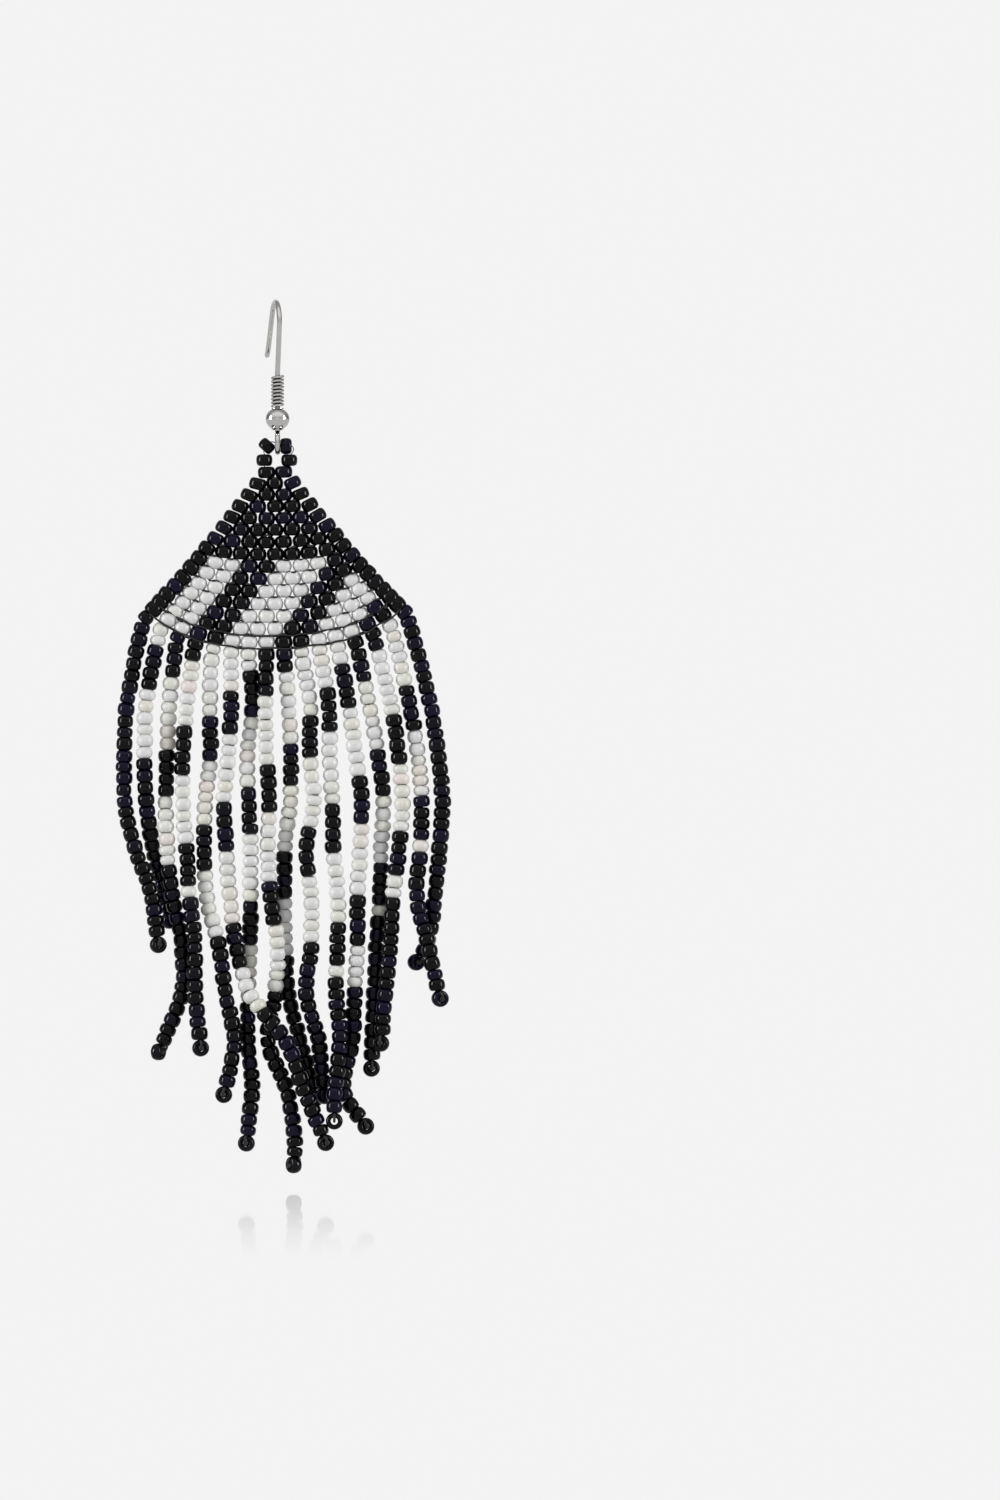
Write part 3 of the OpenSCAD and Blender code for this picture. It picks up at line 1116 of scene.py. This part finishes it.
@dataclass
class BeadPanel:
    """The triangle of bowed rows in brick stitch."""

    shop: Workshop
    patterns: BeadPatterns
    axis: Vector
    beadwork: Beadwork
    base_beads: int = 16
    first_row: int = 2
    first_row_z: float = -20.99
    panel_x: float = -0.3
    bead_pitch: float = 2.15
    bead_width: float = 2.23
    bead_length: float = 1.5
    row_pitch_top: float = 1.42
    row_pitch_base: float = 1.61
    row_bow: float = 0.0284
    bow_power: float = 2.5
    row_rise: float = 0.02
    edge_lean: float = 18.0
    first_leaning_row: int = 3
    last_leaning_row: int = 12
    bead_seed: int = 16
    tip_spread: float = 0.08
    place_spread: tuple[float, float, float] = (0.06, 0.05, 0.08)
    width_spread: float = 0.04
    shortest_bead: float = 0.97
    longest_bead: float = 1.05
    white_tints: float = 0.6
    stitch_seed: int = 9
    stitch_r: float = 0.14
    stitch_in: float = 0.5
    stitch_out: float = 0.62
    stitch_lip_y: float = -0.15
    stitch_lip_spread: float = 0.1
    stitch_front_y: float = -0.95
    stitch_rise: float = 0.06
    stitch_spread: tuple[float, float] = (0.2, 0.12)
    base_seed: int = 5
    base_thread_r: float = 0.115
    base_thread_out: tuple[float, float] = (0.03, 0.09)
    base_thread_y: tuple[float, float] = (0.9, 0.72)
    base_thread_spread: tuple[float, float] = (0.1, 0.14)

    @property
    def bow_step(self) -> float:
        """How steeply a row bows one bead from its middle."""
        return self.bow_power * self.row_bow

    @property
    def shorten(self) -> float:
        """How much a row's slope shortens it from side to side."""
        return (self.bow_step / self.bead_pitch) ** 2 / 8

    def row_z(self, row: int) -> float:
        """Works out how high a row lies.

        Args:
            row: the row, by the number of its beads.

        Returns:
            The height of its middle.
        """
        m = row - self.first_row
        steps = self.base_beads - self.first_row
        widen = (self.row_pitch_base - self.row_pitch_top) * m * (m - 1) / (2 * (steps - 1))
        return self.first_row_z - m * self.row_pitch_top - widen

    def lean(self, u: float) -> float:
        """Works out how far a bead leans with its row.

        Args:
            u: the bead's place, counted from the row's middle.

        Returns:
            The angle in radians.
        """
        up = math.copysign(self.bow_step * abs(u) ** (self.bow_power - 1), u)
        run = self.bead_pitch * (1 - 4 * self.shorten * abs(u) ** 3)
        return math.atan2(up, run) + math.atan(self.row_rise)

    def beside(self, row: int, u: float, a: float, b: float, y: float = 0.0) -> Vector:
        """Finds a point near a bead.

        Args:
            row: the bead's row, by the number of its beads.
            u: the bead's place, counted from the row's middle.
            a: how far along the row the point lies from the bead's middle.
            b: how far up along the bead.
            y: how far to the back.

        Returns:
            The point.
        """
        run = self.bead_pitch * u * (1 - self.shorten * abs(u) ** 3)
        lean = self.lean(u)
        x = self.panel_x + run + a * math.cos(lean) - b * math.sin(lean)
        z = self.row_z(row) + self.row_bow * abs(u) ** self.bow_power + self.row_rise * run
        return self.axis + Vector((x, y, z + a * math.sin(lean) + b * math.cos(lean)))

    def row_places(self, row: int) -> list[float]:
        """Returns the places of a row's beads, counted from its middle."""
        return [i - (row - 1) / 2 for i in range(row)]

    def build(self) -> None:
        """Makes the beads, their stitches and the threads of the base row."""
        rng = random.Random(self.bead_seed)
        tray = BeadTray(self.patterns)
        for row in range(self.first_row, self.base_beads + 1):
            for u in self.row_places(row):
                tone = self.beadwork.tone(row - self.base_beads, u, (row - 1) / 2 - abs(u))
                tray.put(self.bead(row, u, tone, rng), tone)
        tray.pieces(self.shop, "panel_beads", Body.DROP, ["bead_panel"])
        self.shop.piece(self.stitches(), "panel_stitches", THREAD, Body.DROP, ["bead_panel"])
        self.shop.piece(self.base_threads(), "panel_base_threads", THREAD, Body.DROP, ["bead_panel"])

    def bead(self, row: int, u: float, tone: Tone, rng: random.Random) -> Bead:
        """Puts a bead in its row, a little off its ideal place.

        Args:
            row: the bead's row, by the number of its beads.
            u: the bead's place, counted from the row's middle.
            tone: the glass that it is made of.
            rng: where its chance numbers come from.

        Returns:
            The bead.
        """
        leans = abs(u) == (row - 1) / 2 and self.first_leaning_row <= row <= self.last_leaning_row
        angle = self.lean(u) + math.copysign(math.radians(self.edge_lean) * leans, u)
        along = lean_a_little(Vector((-math.sin(angle), 0.0, math.cos(angle))), rng, self.tip_spread)
        middle = self.beside(row, u, *[jitter(rng, spread) for spread in self.place_spread])
        width = self.bead_width * (1.0 - self.width_spread * rng.random() ** 2)
        pitch = self.row_z(row - 1) - self.row_z(row)
        length = pitch * rng.uniform(self.shortest_bead, self.longest_bead)
        tint = rng.random() * (1.0 if tone is Tone.BLACK else self.white_tints)
        return Bead(middle, along, width, length, tint, rng.random())

    def stitches(self) -> bmesh.types.BMesh:
        """Lays the short threads from hole to hole under each pair of beads in a row.

        Returns:
            The threads' mesh.
        """
        rng = random.Random(self.stitch_seed)
        bm = bmesh.new()
        low, out = -self.bead_length / 2, self.stitch_out
        for row in range(self.first_row, self.base_beads):
            places = self.row_places(row)
            for left, right in zip(places, places[1:]):
                first_lip = low + jitter(rng, self.stitch_lip_spread)
                along, up = (jitter(rng, spread) for spread in self.stitch_spread)
                last_lip = low + jitter(rng, self.stitch_lip_spread)
                middle = low + self.stitch_rise + up
                knots = [
                    self.beside(row, left, 0.0, low + self.stitch_in),
                    self.beside(row, left, out, first_lip, self.stitch_lip_y),
                    self.beside(row, (left + right) / 2, along, middle, self.stitch_front_y),
                    self.beside(row, right, -out, last_lip, self.stitch_lip_y),
                    self.beside(row, right, 0.0, low + self.stitch_in),
                ]
                thread_along(bm, Path(knots, steps=3).points, self.stitch_r, sides=6)
        return bm

    def base_threads(self) -> bmesh.types.BMesh:
        """Lays the threads that run along the base row, below and above it, in front and behind.

        Returns:
            The threads' mesh.
        """
        rng = random.Random(self.base_seed)
        bm = bmesh.new()
        base, half = self.base_beads, self.bead_length / 2
        below, above = self.base_thread_out
        on_bead, between = self.base_thread_y
        on_spread, between_spread = self.base_thread_spread
        for side in (-1, 1):
            for b in (-half - below, half + above):
                knots = []
                for u in self.row_places(base):
                    knots.append(self.beside(base, u, 0.0, b + jitter(rng, on_spread), side * on_bead))
                    if u < (base - 1) / 2:
                        b_here = b + jitter(rng, between_spread)
                        knots.append(self.beside(base, u + 0.5, 0.0, b_here, side * between))
                thread_along(bm, Path(knots, steps=4).points, self.base_thread_r, sides=6)
        return bm


@dataclass(frozen=True)
class StrandPlan:
    """Where one strand hangs: x and y at each level, its last bead's middle and turn, and its knot."""

    across: tuple[float, ...]
    back: tuple[float, ...]
    end: tuple[float, float, float]
    end_turn: float
    knotted: bool = True


STRANDS = (
    StrandPlan((-18.8, -19.1, -19.1, -17.8, -15.7), (0.2, 0.3, 0.1, 0, -0.2), (-14.9, -0.3, -80), 20),
    StrandPlan((-16.4, -16.6, -16.4, -15.6, -14.2), (0, -0.3, 0, 1.5, 2.6), (-13.6, 2.7, -77), 40),
    StrandPlan(
        (-13.5, -13.8, -14, -13.8, -13.1, -12, -12),
        (0.3, 0.6, 0.3, 0, 0.3, 0.9, 1.1),
        (-14.9, 0.8, -93.4),
        62,
    ),
    StrandPlan(
        (-11.3, -11.8, -11.8, -11.4, -11, -10.3, -10.3),
        (-0.3, -0.6, -0.3, 0, -0.4, -0.8, -0.8),
        (-9.6, -0.6, -92.9),
        10,
    ),
    StrandPlan(
        (-8.5, -8.4, -9, -9.2, -8.9, -7.4, -6.5, -5.4),
        (0.2, 0.4, 0.2, 0.1, 0.7, -0.5, -0.6, -0.7),
        (-6.7, -0.9, -98.7),
        -8,
    ),
    StrandPlan(
        (-5.8, -6.1, -6.7, -6.4, -6, -5.2, -3.5, 1, 3.3),
        (0, -0.2, -0.1, 0.2, 0.4, 0.3, -0.9, -1.6, -1),
        (6, -0.8, -104.7),
        20,
    ),
    StrandPlan(
        (-3.1, -3.8, -3.6, -3.4, -3.4, -3.5, -3.7, -3.7, -3.2),
        (0.8, 0.4, 0, -0.2, 0.4, 2.1, 2.2, 1.3, 0.4),
        (-3.9, 0.3, -104.8),
        -12,
    ),
    StrandPlan(
        (-1.5, -1.4, -1, -1.2, -0.9, 0, -0.3, -1.2, 1.1, 2.1),
        (-0.8, -0.4, 0.1, -0.2, -0.3, -0.1, 1.1, 1.2, 0.8, 0.3),
        (2, 0.2, -107.5),
        -52,
    ),
    StrandPlan(
        (1.4, 1.6, 1.6, 0.9, 0.8, 0.9, 1.3, 2.8),
        (0, 0.3, 0.4, 1.3, 1.8, 2.2, 2.3, 2.4),
        (4.6, 3, -99.3),
        30,
    ),
    StrandPlan(
        (4.1, 4, 4.5, 3.6, 4.2, 4.2, 3.6, 5.1),
        (0.2, 0, -0.3, -0.2, 0.1, 0, 0, 0.5),
        (5.8, 1.2, -98.9),
        40,
    ),
    StrandPlan(
        (6.4, 6.5, 6.8, 7, 7.5, 7.5, 7.3, 7.8, 7.2),
        (-0.2, 0, 0.2, 0, -0.2, 0, -0.2, -0.5, -0.9),
        (7.1, -1.1, -102),
        0,
        False,
    ),
    StrandPlan(
        (8.9, 9.7, 10.5, 10.3, 10, 10, 9.6, 9.3, 8.2),
        (0, -0.2, -0.2, 0, 0, 0.2, 0.7, 1.4, 1.6),
        (11, 0.9, -102.7),
        15,
    ),
    StrandPlan(
        (11.4, 12.5, 13.2, 12.9, 12.8, 12.3, 12.1, 11.8),
        (0.2, 0.3, 0.4, 1, 1.8, 1.8, 2, 2.1),
        (11.7, 2, -95.5),
        5,
    ),
    StrandPlan(
        (14.1, 15.1, 15.6, 15.2, 14.4, 14.1, 13.5),
        (-0.2, -0.3, -0.2, -0.2, -0.3, -0.3, -0.4),
        (12.9, -0.3, -92.3),
        -10,
    ),
    StrandPlan((16.5, 17.5, 18, 17.8, 17.4, 18.8), (0, 0.2, 0, -0.2, -0.4, -0.9), (20.3, -0.8, -86.7), 25),
    StrandPlan((19.1, 20, 20.6, 20.2, 19.6, 18.7), (0.2, 0, -0.2, 0.1, 0.7, 1.6), (17.3, 1.4, -82.2), 30),
)


@dataclass
class Fringe:
    """The strands that hang from the panel's lowest row."""

    shop: Workshop
    patterns: BeadPatterns
    panel: BeadPanel
    level_top: float = -50.0
    level_step: float = -6.0
    base_bead_half: float = 0.7
    strand_gap: float = 0.05
    neck_l: float = 1.2
    first_seed: int = 400
    bead_width: float = 2.17
    bead_pitch: float = 1.44
    bead_overlap: float = 0.04
    length_spread: float = 0.16
    tip_spread: float = 0.11
    width_spread: float = 0.1
    place_spread: tuple[float, float] = (0.06, 0.05)
    least_tint: float = 0.15
    end_bead_width: float = 2.13
    end_bead_length: float = 1.42
    end_bead_spread: float = 0.12
    thread_r: float = 0.09
    thread_steps: int = 40
    thread_above: float = 0.6
    thread_short: float = 0.1
    turn_r: float = 0.16
    turn_from: float = 0.25
    turn_leaves: tuple[float, float] = (0.35, 0.3)
    turn_passes: tuple[float, float] = (0.75, 0.2)
    turn_bulge: float = 0.02
    turn_enters: tuple[float, float] = (0.6, 0.02)
    knot_r: float = 0.4
    knot_half: float = 0.52

    def build(self) -> None:
        """Makes the strands from left to right."""
        for number, plan in enumerate(STRANDS, 1):
            self.strand(number, plan)

    def path(self, number: int, plan: StrandPlan) -> Path:
        """Draws a strand's line, from its bead of the base row to its last bead's middle.

        Args:
            number: the strand's number from the left.
            plan: where it hangs.

        Returns:
            The line.
        """
        panel, base = self.panel, self.panel.base_beads
        u = number - 1 - (base - 1) / 2
        foot = -self.base_bead_half - self.strand_gap
        knots = [panel.beside(base, u, 0.0, foot), panel.beside(base, u, 0.0, foot - self.neck_l)]
        for i, (x, y) in enumerate(zip(plan.across, plan.back)):
            knots.append(panel.axis + Vector((x, y, self.level_top + i * self.level_step)))
        knots.append(panel.axis + Vector(plan.end))
        return Path(knots)

    def strand(self, number: int, plan: StrandPlan) -> None:
        """Makes one strand's beads and its thread.

        Args:
            number: the strand's number from the left.
            plan: where it hangs.
        """
        rng = random.Random(self.first_seed + number)
        path = self.path(number, plan)
        name, widest = f"strand_{number:02d}", (self.panel.base_beads - 1) / 2
        across = number - 1 - widest
        tray = BeadTray(self.patterns)
        room = path.length - self.end_bead_width / 2 + self.bead_overlap
        count = round(room / self.bead_pitch)
        lengths = [1.0 + jitter(rng, self.length_spread) for _ in range(count)]
        share = room / sum(lengths)
        start = 0.0
        for down, length in enumerate(lengths, 1):
            bead = self.bead(path, start + share * length / 2, share * length, rng)
            tray.put(bead, self.panel.beadwork.tone(down, across, widest - abs(across), count - down))
            start += share * length
        turn = math.radians(plan.end_turn)
        tip = jitter(rng, self.end_bead_spread)
        through = Vector((math.sin(turn), -math.cos(turn), tip)).normalized()
        end = path.at(path.length)
        last = Bead(end, through, self.end_bead_width, self.end_bead_length, rng.random(), rng.random())
        tray.put(last, Tone.BLACK, fine=True)
        tray.pieces(self.shop, name, Body.DROP, [name])
        bm = self.thread(path, room, end, through)
        if plan.knotted:
            self._knot(bm, end, through)
        self.shop.piece(bm, f"{name}_thread", THREAD, Body.DROP, [name])

    def bead(self, path: Path, middle: float, length: float, rng: random.Random) -> Bead:
        """Puts a bead on a strand, a little off its ideal place.

        Args:
            path: the strand's line.
            middle: how far along it the bead's middle lies.
            length: the bead's length.
            rng: where its chance numbers come from.

        Returns:
            The bead.
        """
        along = lean_a_little(path.heading(middle), rng, self.tip_spread)
        width = self.bead_width * (1.0 - self.width_spread * rng.random() ** 2)
        off = Vector((*[jitter(rng, spread) for spread in self.place_spread], 0.0))
        tint = self.least_tint + (1.0 - self.least_tint) * rng.random()
        return Bead(path.at(middle) + off, along, width, length, tint, rng.random())

    def thread(self, path: Path, room: float, end: Vector, through: Vector) -> bmesh.types.BMesh:
        """Lays a strand's thread, which turns back through the last bead.

        Args:
            path: the strand's line.
            room: how far along it the last bead begins.
            end: the last bead's middle.
            through: the direction of its hole.

        Returns:
            The thread's mesh.
        """
        bm = bmesh.new()
        run = room + self.thread_above - self.thread_short
        places = [run * i / self.thread_steps - self.thread_above for i in range(self.thread_steps + 1)]
        thread_along(bm, [path.at(place) for place in places], self.thread_r, sides=6)
        last, up = path.at(room - self.turn_from), -path.heading(path.length)
        side = self.end_bead_length / 2 + self.turn_r
        leaves_out, leaves_down = self.turn_leaves
        passes_high, passes_low = self.turn_passes
        enters_out, enters_down = self.turn_enters

        def round_face(way: Vector) -> list[Vector]:
            """Works out how the thread runs round one face of the last bead.

            Args:
                way: the direction from the bead's middle to that face.

            Returns:
                The points, from inside the bead above to inside the last bead's hole.
            """
            return [
                last,
                last - leaves_down * up + leaves_out * way,
                end + side * way + passes_high * up,
                end + (side + self.turn_bulge) * way + passes_low * up,
                end + enters_out * way - enters_down * up,
            ]

        knots = round_face(through) + round_face(-through)[::-1]
        thread_along(bm, Path(knots, steps=5).points, self.turn_r, sides=8)
        return bm

    def _knot(self, bm: bmesh.types.BMesh, middle: Vector, through: Vector) -> None:
        """Fills a bead's hole with the thread's knot, which stands a little out of both faces.

        Args:
            bm: the mesh that the knot is added to.
            middle: the bead's middle.
            through: the direction of its hole.
        """
        known = len(bm.verts)
        for side in (-1, 1):
            half = Wire(bm, middle, side * through, self.knot_r, sides=12)
            half.straight(self.knot_half, steps=2).round_off()
        bm.verts.ensure_lookup_table()
        bmesh.ops.remove_doubles(bm, verts=bm.verts[known:], dist=JOIN)


# The studio


@dataclass(frozen=True)
class Lamp:
    """A tall soft lamp: where it stands, its width and height, and how bright its face is."""

    name: str
    place: tuple[float, float, float]
    size: tuple[float, float]
    level: float


@dataclass(frozen=True)
class PaleFloor:
    """A pale floor that mirrors the earring's foot, most where one looks along it."""

    name: str = "floor_pale"
    unseen_level: float = 0.65
    mirror_roughness: float = 0.03
    mirror_reach: float = 270.0
    mirror_level: float = 1.7
    mirror_fade: float = 1.6
    mirror_flatness: float = 20.0

    def material(self, level: float) -> bpy.types.Material:
        """Makes the floor's finish.

        Args:
            level: how bright the floor is.

        Returns:
            The material.
        """
        material = bpy.data.materials.new(self.name)
        tree = ShaderTree(material)
        seen = tree.node("ShaderNodeLightPath", {}, {}, "Is Camera Ray")
        strength = self.unseen_level + (1.0 - self.unseen_level) * seen
        shine = {"Color": (level, level, level, 1.0), "Strength": strength}
        glow = tree.node("ShaderNodeEmission", {}, shine)
        polish = {"Color": (1.0, 1.0, 1.0, 1.0), "Roughness": self.mirror_roughness}
        gloss = tree.node("ShaderNodeBsdfGlossy", {}, polish)
        place = tree.node("ShaderNodeTexCoord", {}, {}, "Object")
        away = tree.node("ShaderNodeVectorMath", {"operation": "LENGTH"}, {0: place}, "Value")
        near = (1 - away * (1 / (self.mirror_reach * MM))).at_least(0.0)
        low_view = tree.node("ShaderNodeLayerWeight", {}, {"Blend": 0.5}, "Facing")
        mirror = self.mirror_level * near**self.mirror_fade * low_view**self.mirror_flatness
        floor = tree.node("ShaderNodeMixShader", {}, {0: mirror, 1: glow, 2: gloss})
        tree.node_end("ShaderNodeOutputMaterial", floor)
        return material


@dataclass
class Studio:
    """The pale floor, the soft light and the camera at the photograph's viewing angle."""

    background: float = 0.896
    floor_z: float = -109.9
    floor_reach: float = 3000.0
    front_to_back: Fade = Fade(-0.85, 0.3, 0.44, 0.36)
    sides: Fade = Fade(-0.3, 0.1, 1.0, 0.45)
    sky: Fade = Fade(0.05, 0.7, 1.0, 2.0)
    rear: Fade = Fade(0.65, 0.9, 0.0, 0.5)
    backdrop_from: float = 0.985
    backdrop_edge: float = 200.0
    lamps: tuple[Lamp, ...] = (
        Lamp("key", (-737, -255, -15), (200, 720), 15.0),
        Lamp("fill", (728, -280, -35), (190, 680), 14.0),
    )
    lamps_aim_z: float = -55.0
    unlit: tuple[str, ...] = ("ear_wire_hook", "ear_wire_coil")
    view_x: float = 28.04
    view_z: float = -55.68
    view_height: float = 187.5
    distance: float = 1600.0
    sensor: float = 36.0
    nearest_seen: float = 100.0
    farthest_seen: float = 20000.0

    def build(self) -> None:
        """Makes the floor, the world, the lamps and the camera."""
        self.floor()
        self.world()
        lit = self.all_but(self.unlit)
        for lamp in self.lamps:
            self.softbox(lamp, lit)
        self.camera()

    def floor(self) -> None:
        """Makes a wide pale floor that mirrors a little."""
        bm = bmesh.new()
        place, reach = Matrix.Translation((0, 0, self.floor_z * MM)), self.floor_reach * MM
        bmesh.ops.create_grid(bm, x_segments=4, y_segments=4, size=reach, matrix=place)
        mesh = bpy.data.meshes.new("floor")
        bm.to_mesh(mesh)
        bm.free()
        mesh.materials.append(PaleFloor().material(self.background))
        floor = bpy.data.objects.new("floor", mesh)
        bpy.context.scene.collection.objects.link(floor)
        floor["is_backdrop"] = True

    def world(self) -> None:
        """Lights the scene from a dim room, with a pale backdrop that the camera sees everywhere."""
        world = bpy.data.worlds.new("studio")
        bpy.context.scene.world = world
        tree = ShaderTree(world)
        way = tree.node("ShaderNodeTexCoord", {}, {}, "Generated")
        across, back, up = (tree.node("ShaderNodeSeparateXYZ", {}, {0: way}, axis) for axis in "XYZ")
        room = tree.fade(back, self.front_to_back) * tree.fade(back, self.sides) * tree.fade(up, self.sky)
        room = room + tree.fade(back, self.rear)
        seen = tree.node("ShaderNodeLightPath", {}, {}, "Is Camera Ray")
        squarely = (abs(across).at_least(abs(back)) - self.backdrop_from) * self.backdrop_edge
        light = tree.mix(Mixed.NUMBERS, seen.at_least(squarely), room, self.background)
        glow = tree.node("ShaderNodeBackground", {}, {"Color": (1.0, 1.0, 1.0, 1.0), "Strength": light})
        tree.node_end("ShaderNodeOutputWorld", glow)

    @staticmethod
    def all_but(pieces: Iterable[str]) -> bpy.types.Collection:
        """Groups what the lamps shine on.

        Args:
            pieces: the names of the thin wires, which they leave out because they would burn them out.

        Returns:
            The group. It holds only those pieces, each marked as left out.
        """
        group = bpy.data.collections.new("lit")
        for name in pieces:
            group.objects.link(bpy.data.objects[name])
        for member in group.collection_objects:
            member.light_linking.link_state = "EXCLUDE"
        return group

    def softbox(self, lamp: Lamp, lit: bpy.types.Collection) -> None:
        """Adds a lamp that faces the middle of the earring.

        Args:
            lamp: the lamp.
            lit: what it shines on.
        """
        light = bpy.data.lights.new(lamp.name, "AREA")
        light.shape = "RECTANGLE"
        light.size, light.size_y = (side * MM for side in lamp.size)
        light.energy = lamp.level * math.pi * light.size * light.size_y
        made = bpy.data.objects.new(lamp.name, light)
        bpy.context.scene.collection.objects.link(made)
        made.location = Vector(lamp.place) * MM
        made.light_linking.receiver_collection = lit
        aim = Vector((0, 0, self.lamps_aim_z * MM)) - made.location
        made.rotation_euler = aim.to_track_quat("-Z", "Y").to_euler()

    def camera(self) -> None:
        """Adds the camera, level and far off, as tall in view as the photograph."""
        data = bpy.data.cameras.new("camera")
        data.sensor_width = self.sensor
        data.lens = data.sensor_width * self.distance / self.view_height
        data.clip_start, data.clip_end = self.nearest_seen * MM, self.farthest_seen * MM
        made = bpy.data.objects.new("camera", data)
        bpy.context.scene.collection.objects.link(made)
        made.location = Vector((self.view_x, -self.distance, self.view_z)) * MM
        made.rotation_euler = (math.pi / 2, 0.0, 0.0)
        bpy.context.scene.camera = made
        bpy.context.scene.view_settings.view_transform = "Standard"


def corners(box: Optional[tuple[Vector, Vector]] = None) -> list[list[float]]:
    """Returns the shown object's box, or the given one, as plain lists."""
    low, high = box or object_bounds()
    return [list(low), list(high)]


def main() -> None:
    """Builds the earring over its solids, then the studio."""
    logging.basicConfig(level=logging.INFO, format="%(name)s: %(message)s")
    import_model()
    corners()
    shop = Workshop()
    patterns = BeadPatterns()
    ear_wire = EarWire(shop)
    ear_wire.build()
    TopLoop(shop, patterns, ear_wire.axis).build()
    panel = BeadPanel(shop, patterns, ear_wire.axis, Beadwork())
    panel.build()
    Fringe(shop, patterns, panel).build()
    Studio().build()


if __name__ == "__main__":
    main()
